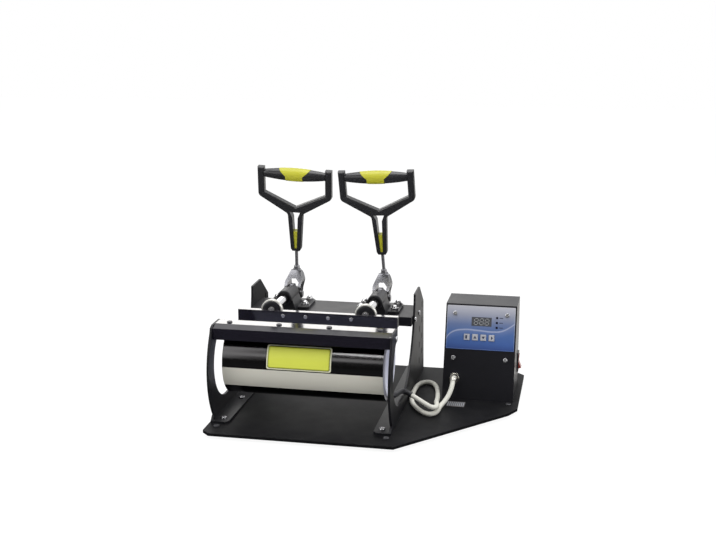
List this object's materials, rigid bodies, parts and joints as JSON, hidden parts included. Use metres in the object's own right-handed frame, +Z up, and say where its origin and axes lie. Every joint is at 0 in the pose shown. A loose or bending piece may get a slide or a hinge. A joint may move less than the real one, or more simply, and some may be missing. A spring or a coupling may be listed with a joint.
{
  "type": "tumbler heat press",
  "caption": "Bench heat press for straight tumblers: heater wrap closed by toggle clamps with D-handles, on a black sheet-metal base with a sloping control box.",
  "frame": {"origin": "bottom centre of the base's footprint, on the surface it stands on", "axes": "+X to the right along the tumbler, +Y to the back, +Z up"},
  "size_m": [0.412, 0.342, 0.3335],
  "materials": {
    "black_coat": "fine-textured black powder coat, satin",
    "rubber_foot": "matte black rubber",
    "black_screw": "blackened steel",
    "bright_screw": "zinc-plated steel",
    "chrome": "bright chrome plate",
    "black_casting": "black coated casting",
    "jacket_steel": "gloss black coated steel sheet",
    "felt": "white insulating felt",
    "silicone_mat": "pale grey silicone rubber",
    "label_plastic": "lime-yellow film with a pale border",
    "black_plastic": "black moulded plastic",
    "yellow_plastic": "yellow moulded plastic",
    "overlay_film": "blue film with a pale top, glossy",
    "display_glass": "dark window",
    "red_lens": "red lens",
    "grey_button": "grey button",
    "nickel": "nickel-plated metal",
    "red_rocker": "red rocker",
    "circuit_board": "green circuit board",
    "black_sleeve": "black shrink sleeve",
    "white_braid": "cream braided sleeve"
  },
  "bodies": {
    "frame": {"base_plate": "black_coat", "box_back_plate": "black_coat", "box_shell": "black_coat", "cable_gland": "nickel", "clamp_body_left": "black_casting", "clamp_body_right": "black_casting", "clamp_bolts": "chrome", "clamp_shelf": "black_coat", "control_board": "circuit_board", "display_window": "display_glass", "felt_front": "felt", "flange_screws": "black_screw", "foot_screws": "black_screw", "frame_screws": "bright_screw", "front_bar": "black_coat", "front_bar_screws": "bright_screw", "heater_cable": "white_braid", "jacket_front": "jacket_steel", "label_plate": "label_plastic", "lead_sleeve": "black_sleeve", "led_lenses": "red_lens", "mat_front": "silicone_mat", "overlay_panel": "overlay_film", "panel_screws": "bright_screw", "pivot_pins": "chrome", "power_inlet": "black_plastic", "relay_block": "black_plastic", "rubber_feet": "rubber_foot", "side_plate_left": "black_coat", "side_plate_right": "black_coat", "switch_bezel": "black_plastic"},
    "jaw": {"rear_bar": "black_coat", "rear_bar_screws": "bright_screw", "jacket_rear": "jacket_steel", "felt_rear": "felt", "mat_rear": "silicone_mat", "plunger_caps": "chrome", "plunger_bolts": "chrome", "plunger_left": "chrome", "plunger_right": "chrome", "clevis_pins": "chrome"},
    "lever_left": {"yoke_left": "chrome", "lever_rod_left": "chrome", "handle_frame_left": "black_plastic", "stem_insert_left": "yellow_plastic", "grip_core_left": "black_plastic", "grip_yellow_left": "yellow_plastic"},
    "link_left_arm": {"link_left": "chrome"},
    "lever_right": {"yoke_right": "chrome", "lever_rod_right": "chrome", "handle_frame_right": "black_plastic", "stem_insert_right": "yellow_plastic", "grip_core_right": "black_plastic", "grip_yellow_right": "yellow_plastic"},
    "link_right_arm": {"link_right": "chrome"},
    "rocker": {"rocker_button": "red_rocker"},
    "key_1": {"button_1": "grey_button"},
    "key_2": {"button_2": "grey_button"},
    "key_3": {"button_3": "grey_button"},
    "key_4": {"button_4": "grey_button"}
  },
  "joints": [
    {"name": "jaw_slide", "type": "slide", "parent": "frame", "child": "jaw", "axis": [0, 1, 0], "range_m": [0, 0.01386]},
    {"name": "lever_left_swing", "type": "hinge", "parent": "frame", "child": "lever_left", "pos_m": [-0.1466, 0.115, 0.133], "axis": [-1, 0, 0], "range_deg": [0, 60]},
    {"name": "link_left_turn", "type": "hinge", "parent": "jaw", "child": "link_left_arm", "pos_m": [-0.1466, 0.08253, 0.1414], "axis": [1, 0, 0], "range_deg": [0, 5]},
    {"name": "lever_right_swing", "type": "hinge", "parent": "frame", "child": "lever_right", "pos_m": [-0.0094, 0.115, 0.133], "axis": [-1, 0, 0], "range_deg": [0, 60]},
    {"name": "link_right_turn", "type": "hinge", "parent": "jaw", "child": "link_right_arm", "pos_m": [-0.0094, 0.08253, 0.1414], "axis": [1, 0, 0], "range_deg": [0, 5]},
    {"name": "rocker_turn", "type": "hinge", "parent": "frame", "child": "rocker", "pos_m": [0.1965, 0.111, 0.047], "axis": [0, 1, 0], "range_deg": [0, 18]},
    {"name": "key_1_press", "type": "slide", "parent": "frame", "child": "key_1", "axis": [0, 0.9652, -0.2615], "range_m": [0, 0.001], "stiffness_N_per_m": 250},
    {"name": "key_2_press", "type": "slide", "parent": "frame", "child": "key_2", "axis": [0, 0.9652, -0.2615], "range_m": [0, 0.001], "stiffness_N_per_m": 250},
    {"name": "key_3_press", "type": "slide", "parent": "frame", "child": "key_3", "axis": [0, 0.9652, -0.2615], "range_m": [0, 0.001], "stiffness_N_per_m": 250},
    {"name": "key_4_press", "type": "slide", "parent": "frame", "child": "key_4", "axis": [0, 0.9652, -0.2615], "range_m": [0, 0.001], "stiffness_N_per_m": 250}
  ],
  "couplings": [
    {"joint": "lever_left_swing", "follows": "jaw_slide", "rad_per_m": 75.53},
    {"joint": "link_left_turn", "follows": "jaw_slide", "rad_per_m": 5.79},
    {"joint": "lever_right_swing", "follows": "jaw_slide", "rad_per_m": 75.53},
    {"joint": "link_right_turn", "follows": "jaw_slide", "rad_per_m": 5.79}
  ]
}
